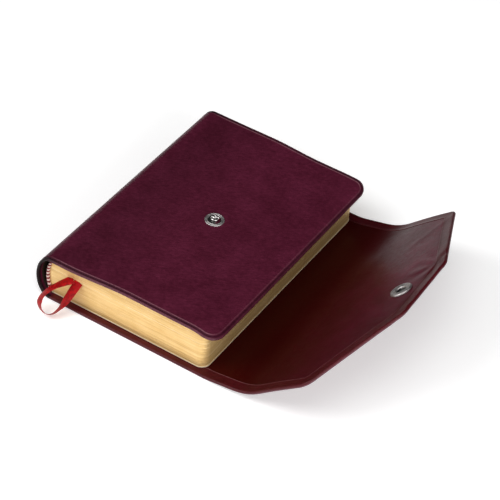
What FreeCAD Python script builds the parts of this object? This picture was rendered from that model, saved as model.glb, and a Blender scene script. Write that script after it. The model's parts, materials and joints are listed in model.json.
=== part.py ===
import FreeCAD, Part
import Sketcher
import math
import os

# A small leather-bound prayer book lying on its back cover, with a wrap-around
# flap that is open. Millimetres. The origin is the middle of the back cover's
# underside, +X runs from the spine to the fore edge and on along the flap, +Y
# runs from the tail of the book to its head, and +Z is up.

Vector = FreeCAD.Vector
ACROSS = Vector(0, 1, 0)
FLAP_TURN = Vector(0, -1, 0)

DIMENSIONS = [
    # the case
    ("cover_width", 101.6),
    ("cover_height", 150.0),
    ("book_thickness", 26.4),
    ("leather", 0.8),
    ("board", 0.6),
    ("lining", 0.4),
    ("turned_edge", 1.0),
    ("corner_radius", 5.0),
    ("spine_depth", 8.0),
    ("spine_card", 0.4),
    ("joint_gap", 0.2),
    ("spine_card_inset", 3.0),
    # what is glued or sewn to the back of the pages
    ("tape", 0.4),
    ("tape_width", 10.0),
    ("tape_pitch", 38.0),
    ("stitch_width", 0.8),
    ("stitch_reach", 62.0),
    ("cloth", 0.3),
    ("cloth_reach", 66.0),
    ("hollow_reach", 69.0),
    ("band_height", 1.4),
    ("band_thickness", 1.9),
    ("band_inset", 1.5),
    # the pages
    ("page_width", 98.6),
    ("page_height", 142.2),
    ("page_corner", 5.0),
    ("back_inset", 4.6),
    ("back_sagitta", 3.0),
    ("back_margin", 2.0),
    ("flyleaf_gap", 0.2),
    ("leaf", 0.4),
    ("slack", 0.12),
    ("lower_sections", 6),
    ("upper_sections", 3),
    ("ribbon_level", 17.3),
    ("ribbon_slot", 0.6),
    # the flap
    ("flap_root_gap", 1.1),
    ("flap_root_level", 0.7),
    ("gusset_length", 28.4),
    ("fold_gap", 0.9),
    ("tongue_side", 33.7),
    ("tongue_length", 59.9),
    ("tongue_end", 43.4),
    ("tongue_corner", 4.0),
    ("flap_lining", 0.5),
    ("hem", 5.0),
    ("gusset_angle", 17.0),
    ("tongue_angle", 40.0),
    # the snap
    ("snap_reach", 46.6),
    ("stud_radius", 5.1),
    ("stud_flange", 0.7),
    ("stud_post_radius", 2.2),
    ("stud_post_height", 1.85),
    ("rivet_radius", 1.2),
    ("rivet_head", 3.8),
    ("socket_radius", 5.9),
    ("socket_height", 1.2),
    ("socket_bore", 2.6),
    ("spring_wire", 0.25),
    ("spring_level", 0.55),
    ("spring_overhang", 1.2),
    ("spring_bite", 0.05),
    ("spring_clearance", 0.03),
    ("cap_radius", 6.9),
    ("cap_height", 1.3),
    # the ribbon marker
    ("ribbon_width", 5.0),
    ("ribbon_thickness", 0.3),
    ("ribbon_short", 2.0),
    ("ribbon_meet", 0.1),
    ("ribbon_tube", 1.3),
]

# How far a cutting shape runs past what it cuts.
CLEAR = 20.0

# Hinge lines of the leaves that fan open with the front cover, measured from
# the spine's outer face: the flyleaf, then the upper sections from the top down.
LEAF_HINGES = [13.8, 17.4, 19.0, 20.0]
# Room that each fold stub leaves beside the leaf that swings over it.
STUB_CLEARANCES = [1.6, 2.3, 2.1, 1.3]

# The ribbon's free loop, one point at each bend, from the pages round and back
# to the pages.
RIBBON_ROUTE = [
    (-30.6, -71.2, 17.3),
    (-34.5, -75.3, 15.8),
    (-39.6, -79.8, 11.8),
    (-42.1, -84.3, 6.6),
    (-37.9, -87.1, 3.0),
    (-33.0, -85.4, 2.2),
    (-30.9, -80.1, 5.2),
    (-29.3, -75.5, 10.8),
    (-27.4, -71.2, 17.3),
]


def make_sheet(doc):
    """Write the driving dimensions into the spreadsheet, one alias a row."""
    sheet = doc.addObject("Spreadsheet::Sheet", "dims")
    for row, (alias, value) in enumerate(DIMENSIONS, start=1):
        sheet.set(f"A{row}", alias)
        sheet.set(f"B{row}", str(value))
        sheet.setAlias(f"B{row}", alias)
    doc.recompute()
    return sheet


def bind(thing, **expressions):
    """Bind properties of an object to expressions on the sheet's cells."""
    for path, expression in expressions.items():
        thing.setExpression(path, expression)


def place(thing, east, north, height):
    """Bind an object's position to expressions."""
    thing.setExpression(".Placement.Base.x", east)
    thing.setExpression(".Placement.Base.y", north)
    thing.setExpression(".Placement.Base.z", height)


def box(doc, name, sizes, corner):
    """A Part::Box whose sizes and low corner are expressions."""
    thing = doc.addObject("Part::Box", name)
    bind(thing, Length=sizes[0], Width=sizes[1], Height=sizes[2])
    place(thing, *corner)
    return thing


def cylinder(doc, name, radius, height, centre):
    """A Part::Cylinder standing along Z, its sizes and base centre expressions."""
    thing = doc.addObject("Part::Cylinder", name)
    bind(thing, Radius=radius, Height=height)
    place(thing, *centre)
    return thing


def cut(doc, label, base, tool):
    thing = doc.addObject("Part::Cut", label)
    thing.Base = base
    thing.Tool = tool
    thing.Label = label
    return thing


def common(doc, label, base, tool):
    thing = doc.addObject("Part::Common", label)
    thing.Base = base
    thing.Tool = tool
    thing.Label = label
    return thing


def fuse(doc, name, shapes):
    thing = doc.addObject("Part::MultiFuse", name)
    thing.Shapes = shapes
    return thing


def round_fore_corners(doc, name, base, radius):
    """Fillet the two upright edges at the fore edge of a plate."""
    doc.recompute()
    edges = base.Shape.Edges
    fore = max(vertex.X for vertex in base.Shape.Vertexes)
    thing = doc.addObject("Part::Fillet", name)
    thing.Base = base
    thing.Edges = [
        (number, radius, radius)
        for number, edge in enumerate(edges, start=1)
        if abs(edge.tangentAt(edge.FirstParameter).z) > 0.99
        and abs(edge.CenterOfMass.x - fore) < 1e-6
    ]
    return thing


def plain_feature(doc, label, shape, placement=FreeCAD.Placement()):
    """A Part::Feature holding a shape made by Part's own functions."""
    thing = doc.addObject("Part::Feature", label)
    thing.Shape = shape
    thing.Placement = placement.multiply(shape.Placement)
    thing.Label = label
    return thing


def extrude_outline(edges, half_length):
    """A prism along Y, symmetric about the book's middle, from an XZ outline."""
    wire = Part.Wire(Part.__sortEdges__(edges))
    face = Part.Face(wire)
    face.translate(Vector(0, -half_length, 0))
    return face.extrude(Vector(0, 2 * half_length, 0))


# Covers

SPINE_X = "-dims.cover_width / 2"
HINGE_X = SPINE_X + " + dims.spine_depth + dims.joint_gap"
COVER_STACK = "(dims.leather + dims.board + dims.lining)"
COVER_LENGTH = "(dims.cover_width - dims.spine_depth - dims.joint_gap)"


def cover_tray(doc, label, level, pocket_level, corner_radius):
    """The cover's leather: a plate with its edges turned in round the board."""
    outer = box(
        doc, label + "_outer",
        (COVER_LENGTH, "dims.cover_height", COVER_STACK),
        (HINGE_X, "-dims.cover_height / 2", level),
    )
    if corner_radius:
        outer = round_fore_corners(doc, label + "_rounded", outer, corner_radius)
    pocket = box(
        doc, label + "_pocket",
        (
            COVER_LENGTH + " - 2 * dims.turned_edge",
            "dims.cover_height - 2 * dims.turned_edge",
            "dims.board + dims.lining",
        ),
        (
            HINGE_X + " + dims.turned_edge",
            "-dims.cover_height / 2 + dims.turned_edge",
            pocket_level,
        ),
    )
    inner = pocket
    if corner_radius:
        inner = round_fore_corners(
            doc, label + "_pocket_rounded", pocket, corner_radius - doc.dims.turned_edge
        )
    return cut(doc, label, outer, inner)


def cover_filling(doc, label, level, thickness, corner_radius):
    """A board or a lining: the plate that fills the tray at one level."""
    plate = box(
        doc, label + "_plate",
        (
            COVER_LENGTH + " - 2 * dims.turned_edge",
            "dims.cover_height - 2 * dims.turned_edge",
            thickness,
        ),
        (
            HINGE_X + " + dims.turned_edge",
            "-dims.cover_height / 2 + dims.turned_edge",
            level,
        ),
    )
    if corner_radius:
        inner_radius = corner_radius - doc.dims.turned_edge
        plate = round_fore_corners(doc, label, plate, inner_radius)
    plate.Label = label
    return plate


def make_back_cover(doc):
    return [
        cover_tray(doc, "back_cover_leather", "0", "dims.leather", 0),
        cover_filling(doc, "back_cover_board", "dims.leather", "dims.board", 0),
        cover_filling(
            doc, "back_cover_lining", "dims.leather + dims.board", "dims.lining", 0
        ),
    ]


def make_front_cover(doc, sheet):
    """The front cover's three layers, each pierced for the stud's rivet."""
    top = "dims.book_thickness"
    radius = sheet.corner_radius
    tray = cover_tray(
        doc, "front_tray", top + " - " + COVER_STACK, top + " - " + COVER_STACK, radius
    )
    board = cover_filling(
        doc, "front_board", top + " - dims.leather - dims.board", "dims.board", radius
    )
    lining = cover_filling(
        doc, "front_lining", top + " - " + COVER_STACK, "dims.lining", radius
    )
    shank_hole = rivet_hole(doc, "shank_hole", "dims.rivet_radius")
    board_hole = rivet_hole(doc, "board_hole", "dims.rivet_radius")
    head_hole = rivet_hole(doc, "head_hole", "dims.rivet_head")
    return [
        cut(doc, "front_cover_leather", tray, shank_hole),
        cut(doc, "front_cover_board", board, board_hole),
        cut(doc, "front_cover_lining", lining, head_hole),
    ]


# Spine

# Shares of the round back that the glued layers and the headbands cover.
LAYER_SHARE = 0.96
BAND_SHARE = 0.85


def half_ellipse_edges(sheet, inset):
    """The spine's curve, bulging to -X, set in from the leather's outer face."""
    middle_z = sheet.book_thickness / 2
    depth = sheet.spine_depth - inset
    half_height = middle_z - inset
    end_x = -sheet.cover_width / 2 + sheet.spine_depth
    ellipse = Part.Ellipse(
        Vector(end_x, 0, middle_z + half_height),
        Vector(end_x - depth, 0, middle_z),
        Vector(end_x, 0, middle_z),
    )
    top = Vector(end_x, 0, middle_z + half_height)
    bottom = Vector(end_x, 0, middle_z - half_height)
    first = ellipse.parameter(top)
    last = ellipse.parameter(bottom)
    arc = Part.ArcOfEllipse(ellipse, first, last)
    middle = arc.value((arc.FirstParameter + arc.LastParameter) / 2)
    if middle.x > end_x:
        arc = Part.ArcOfEllipse(ellipse, last, first + 2 * math.pi)
    return arc.toShape(), top, bottom


def spine_shell(doc, label, sheet, inset, thickness, length):
    """A C-shaped layer of the spine, as long as the cover or a little less."""
    outer, outer_top, outer_bottom = half_ellipse_edges(sheet, inset)
    inner, inner_top, inner_bottom = half_ellipse_edges(sheet, inset + thickness)
    edges = [
        outer,
        Part.LineSegment(outer_top, inner_top).toShape(),
        inner,
        Part.LineSegment(inner_bottom, outer_bottom).toShape(),
    ]
    return plain_feature(doc, label, extrude_outline(edges, length / 2))


def back_curve(sheet):
    """Radius, centre and half angle (degrees) of the page block's round back."""
    half_chord = sheet.book_thickness / 2 - sheet.back_margin
    sagitta = sheet.back_sagitta
    radius = (half_chord**2 + sagitta**2) / (2 * sagitta)
    centre_x = -sheet.cover_width / 2 + sheet.back_inset + radius
    half_angle = math.degrees(math.asin(half_chord / radius))
    return radius, Vector(centre_x, 0, sheet.book_thickness / 2), half_angle


def span(middle, width):
    """The low and high ends of a stretch."""
    return middle - width / 2, middle + width / 2


def back_layer(doc, label, sheet, lift, thickness, spans, angle_share=LAYER_SHARE):
    """Strips glued round the block's back, each over a stretch (low, high) of Y."""
    radius, centre, half_angle = back_curve(sheet)
    half_angle *= angle_share
    strips = []
    for low, high in spans:
        edges = []
        rims = []
        for reach in (radius + lift, radius + lift + thickness):
            points = [
                centre + Vector(-reach * math.cos(turn), 0, reach * math.sin(turn))
                for turn in (-math.radians(half_angle), 0, math.radians(half_angle))
            ]
            edges.append(Part.Arc(*points).toShape())
            rims.append((points[0], points[2]))
        edges.append(Part.LineSegment(rims[0][0], rims[1][0]).toShape())
        edges.append(Part.LineSegment(rims[0][1], rims[1][1]).toShape())
        strip = extrude_outline(edges, (high - low) / 2)
        strip.translate(Vector(0, (low + high) / 2, 0))
        strips.append(strip)
    shape = strips[0] if len(strips) == 1 else Part.makeCompound(strips)
    return plain_feature(doc, label, shape)


def make_spine(doc, sheet):
    """The spine's leather and card, and the cloth and threads on the pages."""
    half_page = sheet.page_height / 2
    tape = sheet.tape
    cloth = sheet.cloth
    tape_spans = [span(sheet.tape_pitch * row, sheet.tape_width) for row in (-1, 0, 1)]
    stitch_spans = [
        span(side * sheet.stitch_reach, sheet.stitch_width) for side in (-1, 1)
    ]
    cloth_span = span(0, 2 * sheet.cloth_reach)
    hollow_span = span(0, 2 * sheet.hollow_reach)
    bands = []
    for label, side in (("head_band", 1), ("tail_band", -1)):
        band_span = span(side * (half_page + sheet.band_height / 2), sheet.band_height)
        bands.append(
            back_layer(
                doc, label, sheet, -sheet.band_inset, sheet.band_thickness,
                [band_span], BAND_SHARE,
            )
        )
    card_length = sheet.cover_height - 2 * sheet.spine_card_inset
    return bands + [
        spine_shell(doc, "spine_leather", sheet, 0.0, sheet.leather, sheet.cover_height),
        spine_shell(
            doc, "spine_card", sheet, sheet.leather, sheet.spine_card, card_length
        ),
        back_layer(doc, "sewing_tapes", sheet, 0.0, tape, tape_spans),
        back_layer(doc, "kettle_stitches", sheet, 0.0, tape, stitch_spans),
        back_layer(doc, "spine_cloth", sheet, tape, cloth, [cloth_span]),
        back_layer(doc, "hollow_tube", sheet, tape + cloth, cloth, [hollow_span]),
    ]


# Pages


def page_block(doc, sheet):
    """The outline of the whole block: a round back and two round fore corners."""
    radius, centre, half_angle = back_curve(sheet)
    turn = math.radians(half_angle)
    low = centre + Vector(-radius * math.cos(turn), 0, -radius * math.sin(turn))
    high = centre + Vector(-radius * math.cos(turn), 0, radius * math.sin(turn))
    left = centre + Vector(-radius, 0, 0)
    fore_x = -sheet.cover_width / 2 + sheet.page_width
    edges = [
        Part.Arc(low, left, high).toShape(),
        Part.LineSegment(high, Vector(fore_x, 0, high.z)).toShape(),
        Part.LineSegment(Vector(fore_x, 0, high.z), Vector(fore_x, 0, low.z)).toShape(),
        Part.LineSegment(Vector(fore_x, 0, low.z), low).toShape(),
    ]
    block = extrude_outline(edges, sheet.page_height / 2)
    corners = [
        edge
        for edge in block.Edges
        if abs(edge.CenterOfMass.x - fore_x) < 1e-6
        and abs(edge.tangentAt(edge.FirstParameter).z) > 0.99
    ]
    rounded = block.makeFillet(sheet.page_corner, corners)
    return plain_feature(doc, "page_block", rounded)


def slab(doc, name, low_x, high_x, low_z, high_z):
    """A cutting box as wide as the pages, between plain limits."""
    return box(
        doc, name,
        (str(high_x - low_x), f"dims.page_height + {CLEAR}", str(high_z - low_z)),
        (str(low_x), f"-(dims.page_height + {CLEAR}) / 2", str(low_z)),
    )


def page_levels(sheet):
    """Low and high Z of each layer of leaves, named as the nodes are."""
    inner_low = sheet.leather + sheet.board + sheet.lining
    inner_high = sheet.book_thickness - inner_low
    slack = sheet.slack
    first = inner_low + sheet.flyleaf_gap
    levels = {"back_flyleaf": (first, first + sheet.leaf)}
    low = levels["back_flyleaf"][1] + slack
    top = sheet.ribbon_level - sheet.ribbon_slot / 2
    count = int(sheet.lower_sections)
    pitch = (top - low) / count
    for index in range(count):
        base = low + index * pitch
        number = int(sheet.upper_sections) + count - index
        levels[f"section_{number}"] = (base, base + pitch - slack)
    low = sheet.ribbon_level + sheet.ribbon_slot / 2
    flyleaf_low = inner_high - sheet.flyleaf_gap - sheet.leaf
    count = int(sheet.upper_sections)
    pitch = (flyleaf_low - low) / count
    for index in range(count):
        base = low + index * pitch
        levels[f"section_{count - index}"] = (base, base + pitch - slack)
    levels["front_flyleaf"] = (flyleaf_low, flyleaf_low + sheet.leaf)
    return levels


def make_pages(doc, sheet):
    """Flyleaves, sewn sections and the folds that hold the leaves that turn."""
    block = page_block(doc, sheet)
    spine_x = -sheet.cover_width / 2
    far_x = spine_x + sheet.cover_width + CLEAR
    near_x = spine_x - CLEAR
    hinges = dict(
        zip(("front_flyleaf", "section_1", "section_2", "section_3"), LEAF_HINGES)
    )
    clearances = dict(zip(hinges, STUB_CLEARANCES))
    parts = []
    stubs = []
    for label, (low, high) in page_levels(sheet).items():
        start = near_x
        if label in hinges:
            start = spine_x + hinges[label]
            stub_end = start - clearances[label]
            stubs.append(
                slab(doc, label + "_stub", near_x, stub_end, low - sheet.slack, high)
            )
        tool = slab(doc, label + "_slab", start, far_x, low, high)
        parts.append(common(doc, label, block, tool))
    folds = fuse(doc, "fold_steps", stubs)
    parts.append(common(doc, "section_folds", block, folds))
    return parts


# Snap fastener


def stud_centre():
    """Expression for the stud's X: where the closed flap brings the socket."""
    return "dims.cover_width / 2 + dims.flap_root_gap - dims.snap_reach"


def rivet_hole(doc, name, radius):
    level = f"dims.book_thickness - {CLEAR / 2}"
    return cylinder(doc, name, radius, str(CLEAR), (stud_centre(), "0", level))


def revolved_body(doc, label, profile):
    """A PartDesign body turned about Z from an outline of (radius, height) terms.

    Each term is an expression, so every corner of the outline follows the sheet.
    """
    body = doc.addObject("PartDesign::Body", label)
    body.Label = label
    plane = next(
        item for item in body.Origin.OriginFeatures if item.Role == "XZ_Plane"
    )
    sketch = body.newObject("Sketcher::SketchObject", label + "_sketch")
    sketch.AttachmentSupport = [(plane, "")]
    sketch.MapMode = "FlatFace"
    values = [
        (doc.dims.evalExpression(radius), doc.dims.evalExpression(height))
        for radius, height in profile
    ]
    count = len(values)
    for index in range(count):
        start = Vector(*values[index], 0)
        end = Vector(*values[(index + 1) % count], 0)
        sketch.addGeometry(Part.LineSegment(start, end), False)
    constrain_corners(sketch, profile, count)
    turned = body.newObject("PartDesign::Revolution", label + "_turned")
    turned.Profile = sketch
    turned.ReferenceAxis = (sketch, ["V_Axis"])
    turned.Angle = 360
    return body


def constrain_corners(sketch, profile, count):
    """Join the outline's lines and bind each corner's place to its expressions."""
    for index in range(count):
        sketch.addConstraint(
            Sketcher.Constraint("Coincident", index, 2, (index + 1) % count, 1)
        )
    for index, (radius, height) in enumerate(profile):
        point = sketch.getPoint(index, 1)
        for kind, value, expression in (
            ("DistanceX", point.x, radius),
            ("DistanceY", point.y, height),
        ):
            number = sketch.addConstraint(
                Sketcher.Constraint(kind, -1, 1, index, 1, value)
            )
            sketch.renameConstraint(number, f"corner{index}{kind}")
            sketch.setExpression(f"Constraints.corner{index}{kind}", expression)


def make_stud(doc, sheet):
    """The stud on the front cover and the rivet that clamps it from inside."""
    top = "dims.book_thickness"
    stud = revolved_body(
        doc, "snap_stud",
        [
            ("0", "0"),
            ("dims.stud_radius", "0"),
            ("dims.stud_radius", "dims.stud_flange * 0.6"),
            ("dims.stud_radius - 0.6", "dims.stud_flange"),
            ("dims.stud_post_radius + 0.9", "dims.stud_flange"),
            ("dims.stud_post_radius - 0.4", "dims.stud_flange * 0.8"),
            ("dims.stud_post_radius - 0.4", "dims.stud_post_height * 0.55"),
            ("dims.stud_post_radius", "dims.stud_post_height * 0.75"),
            ("dims.stud_post_radius - 0.5", "dims.stud_post_height"),
            ("0", "dims.stud_post_height"),
        ],
    )
    place(stud, stud_centre(), "0", top)
    rivet = revolved_body(
        doc, "snap_rivet",
        [
            ("0", "0"),
            ("dims.rivet_head", "0"),
            ("dims.rivet_head", "dims.lining"),
            ("dims.rivet_radius", "dims.lining"),
            ("dims.rivet_radius", COVER_STACK),
            ("0", COVER_STACK),
        ],
    )
    place(rivet, stud_centre(), "0", top + " - " + COVER_STACK)
    return [stud, rivet]


# Flap


def flap_points(sheet):
    """The flap's root line and its fold line, and the angles of its two panels."""
    root = Vector(
        sheet.cover_width / 2 + sheet.flap_root_gap, 0, sheet.flap_root_level
    )
    gusset_turn = FreeCAD.Rotation(FLAP_TURN, sheet.gusset_angle)
    fold = root + gusset_turn.multVec(Vector(sheet.gusset_length, 0, 0))
    tongue_turn = FreeCAD.Rotation(FLAP_TURN, sheet.tongue_angle)
    return root, gusset_turn, fold, tongue_turn


def panel_face(corners):
    """A flat face from (along, across) corners, mirrored about the middle line."""
    loop = corners + [(along, -across) for along, across in reversed(corners)]
    points = [Vector(along, across, 0) for along, across in loop]
    return Part.Face(Part.makePolygon(points + [points[0]]))


def layered_panel(doc, prefix, corners, inset_face, sheet, centre, turn, rounded):
    """Leather below, and above it the lining inside a frame of turned-in leather."""
    total = sheet.leather + sheet.flap_lining
    face = panel_face(corners)
    placement = FreeCAD.Placement(centre, turn)
    low = -total / 2
    leather = face.extrude(Vector(0, 0, sheet.leather))
    border = face.extrude(Vector(0, 0, sheet.flap_lining))
    if rounded:
        leather = leather.makeFillet(rounded, panel_corners(leather, corners))
        border = border.makeFillet(rounded, panel_corners(border, corners))
    inner = inset_face.extrude(Vector(0, 0, sheet.flap_lining))
    hem = border.cut(inner)
    leather.translate(Vector(0, 0, low))
    hem.translate(Vector(0, 0, low + sheet.leather))
    inner.translate(Vector(0, 0, low + sheet.leather))
    names = (prefix + "_leather", prefix + "_hem", prefix + "_lining")
    parts = []
    for label, shape in zip(names, (leather, hem, inner)):
        parts.append(plain_feature(doc, label, shape, placement))
    return parts


def panel_corners(solid, corners):
    """Upright edges of a panel at every corner that isn't on its first line."""
    first = corners[0][0]
    return [
        edge
        for edge in solid.Edges
        if abs(edge.tangentAt(edge.FirstParameter).z) > 0.99
        and edge.CenterOfMass.x > first + 1
    ]


def pierced(doc, thing, hole):
    """Cut the snap's shank hole in a placed layer, keeping the layer's name."""
    label = thing.Label
    thing.Label = label + "_blank"
    return cut(doc, label, thing, hole)


def make_gusset(doc, sheet):
    """The panel that stands up the fore edge when the book is closed."""
    root, turn, _, _ = flap_points(sheet)
    half = sheet.cover_height / 2
    start = sheet.fold_gap
    end = sheet.gusset_length - sheet.fold_gap
    corners = [(start, half), (end, half)]
    inset = panel_face([(start, half - sheet.hem), (end, half - sheet.hem)])
    return layered_panel(doc, "gusset", corners, inset, sheet, root, turn, 0)


def make_tongue(doc, sheet):
    """The panel that folds over the front cover, narrowing to the snap's end."""
    _, _, fold, turn = flap_points(sheet)
    half = sheet.cover_height / 2
    start = sheet.fold_gap
    corners = [
        (start, half),
        (sheet.tongue_side, half),
        (sheet.tongue_length, sheet.tongue_end / 2),
    ]
    run = sheet.tongue_length - sheet.tongue_side
    drop = half - sheet.tongue_end / 2
    slant = math.hypot(run, drop)
    side_pull = sheet.hem * (1 - run / slant) / (drop / slant)
    end_pull = sheet.hem * (1 - drop / slant) / (run / slant)
    inset = panel_face([
        (start, half - sheet.hem),
        (sheet.tongue_side - side_pull, half - sheet.hem),
        (sheet.tongue_length - sheet.hem, sheet.tongue_end / 2 - end_pull),
    ])
    layers = layered_panel(
        doc, "tongue", corners, inset, sheet, fold, turn, sheet.tongue_corner
    )
    hole = doc.addObject("Part::Cylinder", "cap_shank_hole")
    bind(hole, Radius="dims.rivet_radius", Height=str(CLEAR))
    centre = fold + turn.multVec(Vector(sheet.snap_reach, 0, -CLEAR / 2))
    hole.Placement = FreeCAD.Placement(centre, turn)
    leather, hem, lining = layers
    second_hole = doc.copyObject(hole)
    return [pierced(doc, leather, hole), hem, pierced(doc, lining, second_hole)]


def make_socket(doc, sheet):
    """The socket on the flap's lining, its spring, and the cap outside."""
    _, _, fold, turn = flap_points(sheet)
    half_stack = (sheet.leather + sheet.flap_lining) / 2
    lining_face = fold + turn.multVec(Vector(sheet.snap_reach, 0, half_stack))
    outer_face = fold + turn.multVec(Vector(sheet.snap_reach, 0, -half_stack))
    socket = revolved_body(
        doc, "socket_ring",
        [
            ("dims.socket_bore", "0"),
            ("dims.socket_radius", "0"),
            ("dims.socket_radius", "dims.socket_height * 0.5"),
            ("dims.socket_radius - 0.5", "dims.socket_height"),
            ("dims.socket_bore + 0.3", "dims.socket_height"),
            ("dims.socket_bore", "dims.socket_height * 0.75"),
        ],
    )
    socket.Placement = FreeCAD.Placement(lining_face, turn)
    seat = FreeCAD.Placement(lining_face, turn)
    groove = plain_feature(
        doc, "spring_groove",
        spring_wires(sheet, sheet.spring_wire + sheet.spring_clearance), seat,
    )
    ring = cut(doc, "snap_socket", socket, groove)
    spring = plain_feature(
        doc, "socket_spring", spring_wires(sheet, sheet.spring_wire), seat
    )
    stack = "(dims.leather + dims.flap_lining)"
    cap = revolved_body(
        doc, "snap_cap",
        [
            ("0", "-dims.cap_height"),
            ("dims.cap_radius * 0.5", "-dims.cap_height * 0.88"),
            ("dims.cap_radius * 0.85", "-dims.cap_height * 0.55"),
            ("dims.cap_radius", "-dims.cap_height * 0.1"),
            ("dims.cap_radius", "0"),
            ("dims.rivet_radius", "0"),
            ("dims.rivet_radius", stack),
            ("0", stack),
        ],
    )
    cap.Placement = FreeCAD.Placement(outer_face, turn)
    return [ring, spring, cap]


def spring_wires(sheet, radius):
    """Two straight wires that grip the stud's neck, one each side of the bore."""
    length = 2 * (sheet.socket_bore + sheet.spring_overhang)
    reach = sheet.socket_bore - sheet.spring_bite
    wires = []
    for side in (-1, 1):
        start = Vector(side * reach, -length / 2, sheet.spring_level)
        wires.append(Part.makeCylinder(radius, length, start, ACROSS))
    return Part.makeCompound(wires)


# Ribbon marker


def bend_radius(before, at, after):
    """The tangent arc's radius at a bend: 0.45 of the shorter run, over tan."""
    into = at - before
    out = after - at
    turn = into.getAngle(out)
    return 0.45 * min(into.Length, out.Length) / math.tan(turn / 2)


def cord_path(points):
    """Straight runs joined by tangent arcs, and each arc's radius."""
    edges = []
    radii = []
    start = points[0]
    for before, at, after in zip(points, points[1:], points[2:]):
        into = (at - before).normalize()
        out = (after - at).normalize()
        radius = bend_radius(before, at, after)
        half_turn = into.getAngle(out) / 2
        setback = radius * math.tan(half_turn)
        arc_start = at - into * setback
        arc_end = at + out * setback
        inward = (out - into).normalize()
        centre = at + inward * (radius / math.cos(half_turn))
        middle = centre - inward * radius
        edges.append(Part.LineSegment(start, arc_start).toShape())
        edges.append(Part.Arc(arc_start, middle, arc_end).toShape())
        radii.append(radius)
        start = arc_end
    edges.append(Part.LineSegment(start, points[-1]).toShape())
    return Part.Wire(edges), radii


def make_ribbon(doc, sheet):
    """The ribbon's stretch between the pages and its free loop at the tail."""
    points = [Vector(*point) for point in RIBBON_ROUTE]
    path, radii = cord_path(points)
    radius = sheet.ribbon_tube / 2
    circle = Part.makeCircle(radius, points[0], points[1] - points[0])
    tube = path.makePipeShell([Part.Wire(circle)], True, True)
    expected = math.pi * radius**2 * path.Length
    print("ribbon radii", [round(value, 1) for value in radii])
    print("ribbon volume", round(tube.Volume, 2), "expected", round(expected, 2))
    corner = Vector(points[0].x - CLEAR / 2, points[0].y, points[0].z - CLEAR / 2)
    inside = Part.makeBox(CLEAR, CLEAR, CLEAR, corner)
    loop = plain_feature(doc, "ribbon_loop", tube.cut(inside))
    middle = (points[0].x + points[-1].x) / 2
    strip = box(
        doc, "ribbon_strip",
        (
            "dims.ribbon_width",
            "dims.page_height - dims.ribbon_short + dims.ribbon_meet",
            "dims.ribbon_thickness",
        ),
        (
            str(middle) + " - dims.ribbon_width / 2",
            "-dims.page_height / 2 - dims.ribbon_meet",
            "dims.ribbon_level - dims.ribbon_thickness / 2",
        ),
    )
    strip.Label = "ribbon_strip"
    return [strip, loop]


def check_objects(doc, parts):
    """Stop if any object failed to build or any sub-part isn't a sound solid."""
    for thing in doc.Objects:
        if "Invalid" in thing.State or "Error" in thing.State:
            raise RuntimeError(f"{thing.Name} failed: {thing.State}")
    for thing in parts:
        shape = thing.Shape
        if shape.isNull() or not shape.isValid() or not shape.Solids:
            raise RuntimeError(f"{thing.Label} has no sound solid")


def main():
    doc = FreeCAD.newDocument("prayer_book")
    sheet = make_sheet(doc)
    parts = make_back_cover(doc)
    parts += make_front_cover(doc, sheet)
    parts += make_spine(doc, sheet)
    parts += make_pages(doc, sheet)
    parts += make_stud(doc, sheet)
    parts += make_gusset(doc, sheet)
    parts += make_tongue(doc, sheet)
    parts += make_socket(doc, sheet)
    parts += make_ribbon(doc, sheet)
    doc.recompute()
    check_objects(doc, parts)
    os.makedirs("parts", exist_ok=True)
    for thing in parts:
        thing.Shape.exportStep(f"parts/{thing.Label}.step")
        print(f"{thing.Label:22s} {thing.Shape.Volume:10.1f} mm3  {len(thing.Shape.Solids)}")
    print(len(parts), "nodes")


main()
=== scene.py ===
import json
import math

import bpy
import numpy as np
from mathutils import Matrix, Vector, noise

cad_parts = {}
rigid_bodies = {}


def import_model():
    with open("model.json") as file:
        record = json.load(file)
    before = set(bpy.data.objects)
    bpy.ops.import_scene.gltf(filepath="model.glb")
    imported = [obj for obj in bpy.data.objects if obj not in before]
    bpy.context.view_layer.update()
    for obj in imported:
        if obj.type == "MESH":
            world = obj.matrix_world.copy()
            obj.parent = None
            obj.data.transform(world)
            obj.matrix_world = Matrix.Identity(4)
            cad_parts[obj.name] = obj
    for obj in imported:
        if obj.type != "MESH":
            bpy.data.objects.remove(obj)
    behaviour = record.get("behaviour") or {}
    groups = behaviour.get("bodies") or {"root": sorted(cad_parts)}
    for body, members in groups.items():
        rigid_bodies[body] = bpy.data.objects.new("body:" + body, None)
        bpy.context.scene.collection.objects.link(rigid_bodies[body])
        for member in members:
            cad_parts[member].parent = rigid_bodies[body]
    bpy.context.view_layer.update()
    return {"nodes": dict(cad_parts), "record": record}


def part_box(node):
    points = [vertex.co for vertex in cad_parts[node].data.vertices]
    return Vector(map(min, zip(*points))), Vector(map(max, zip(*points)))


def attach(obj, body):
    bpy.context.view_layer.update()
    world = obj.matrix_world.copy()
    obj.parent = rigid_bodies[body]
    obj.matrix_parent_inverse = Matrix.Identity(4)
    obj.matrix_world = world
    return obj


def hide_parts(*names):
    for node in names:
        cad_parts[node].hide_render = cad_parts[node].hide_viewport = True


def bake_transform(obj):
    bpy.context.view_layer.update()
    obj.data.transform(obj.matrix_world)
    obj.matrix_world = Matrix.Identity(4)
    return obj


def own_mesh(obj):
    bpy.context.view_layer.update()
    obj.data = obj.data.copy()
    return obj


# The looks of a small leather-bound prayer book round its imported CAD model.
# Lengths in this script are millimetres, in the frame of the CAD model: +X from
# the spine to the fore edge and along the flap, +Y from tail to head, +Z up.
# Meshes are written in metres.

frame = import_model()
MM = 0.001


def node_box(node):
    """A CAD node's lowest and highest corners."""
    low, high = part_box(node)
    return np.array(low) / MM, np.array(high) / MM


def hinge_place(name):
    """Where a joint's axis crosses the plane y = 0."""
    joints = {joint["name"]: joint for joint in frame["record"]["behaviour"]["joints"]}
    return np.array(joints[name]["pos_m"]) / MM


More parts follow.
